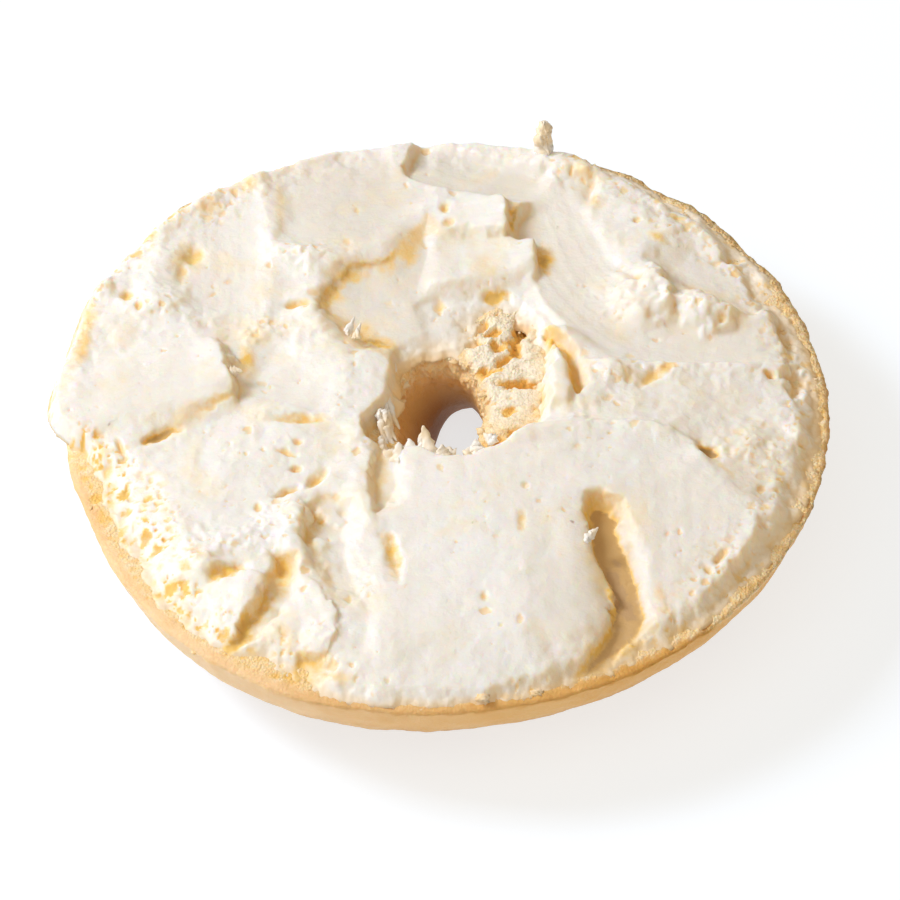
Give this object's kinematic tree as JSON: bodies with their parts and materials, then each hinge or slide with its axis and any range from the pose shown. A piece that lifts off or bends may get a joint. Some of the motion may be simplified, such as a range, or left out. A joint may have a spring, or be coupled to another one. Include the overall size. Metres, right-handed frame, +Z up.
{
  "type": "bagel half spread with cream cheese",
  "caption": "Cut half of a plain round bagel lying crust down, its cut face spread thickly with cream cheese round the open centre hole.",
  "frame": {"origin": "on the plane the crust rests on, under the middle of the whole half's outer box", "axes": "+Z up, out of the spread cut face; +Y away from the side with the broad front panel of spread; +X to the right of that side"},
  "size_m": [0.112, 0.11, 0.025],
  "materials": {
    "bread": "thin golden baked crust on the sides and base, pale porous crumb on the cut face",
    "cream_cheese": "soft, moist, ivory white, slightly translucent where thin"
  },
  "bodies": {
    "root": {"bagel_half": "bread", "cream_cheese": "cream_cheese"}
  },
  "joints": []
}
